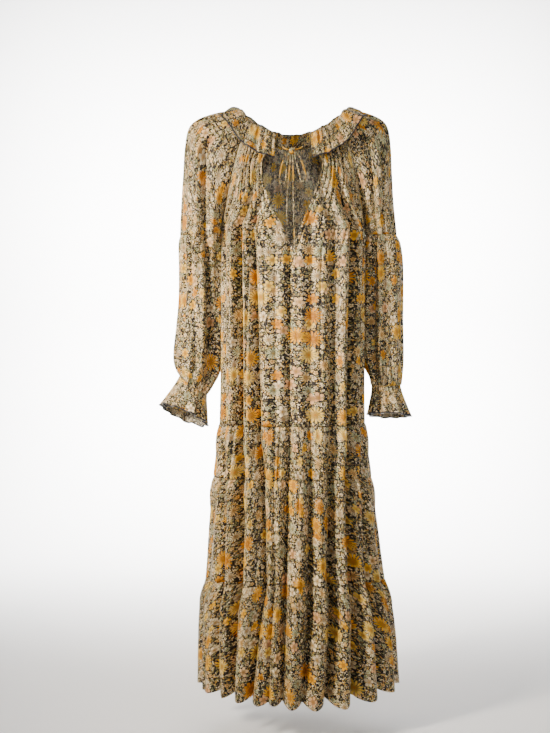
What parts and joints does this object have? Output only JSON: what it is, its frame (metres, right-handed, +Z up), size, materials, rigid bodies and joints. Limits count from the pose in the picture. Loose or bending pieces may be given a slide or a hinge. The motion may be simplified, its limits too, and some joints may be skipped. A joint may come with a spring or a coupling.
{
  "type": "long sleeve dress",
  "caption": "Loose long sleeve maxi dress of thin printed cloth, with a ruffled collar, a tied neck slit, flared cuffs and a gathered tiered skirt.",
  "frame": {"origin": "middle of the shoulder line, where the wearer's shoulders hold the dress up", "axes": "+Z up, -Y to the front of the dress, +X to the right as seen from the front"},
  "size_m": [0.5529, 0.2792, 1.2817],
  "materials": {
    "printed_cloth": "soft woven viscose, printed with small flowers and leaves",
    "tie_cloth": "soft woven viscose"
  },
  "bodies": {
    "root": {"body_front": "printed_cloth", "body_back": "printed_cloth", "sleeve_upper_left": "printed_cloth", "sleeve_upper_right": "printed_cloth", "sleeve_lower_left": "printed_cloth", "sleeve_lower_right": "printed_cloth", "tier_1_front": "printed_cloth", "tier_1_back": "printed_cloth", "tier_2_front": "printed_cloth", "tier_2_back": "printed_cloth", "tier_3_front": "printed_cloth", "tier_3_back": "printed_cloth", "cuff_ruffle_left": "printed_cloth", "cuff_ruffle_right": "printed_cloth", "collar_ruffle": "printed_cloth", "tie_strand_left": "tie_cloth", "tie_strand_right": "tie_cloth", "tie_loop_left": "tie_cloth", "tie_loop_right": "tie_cloth", "tie_tail_left": "tie_cloth", "tie_tail_right": "tie_cloth", "tie_knot": "tie_cloth"}
  },
  "joints": []
}
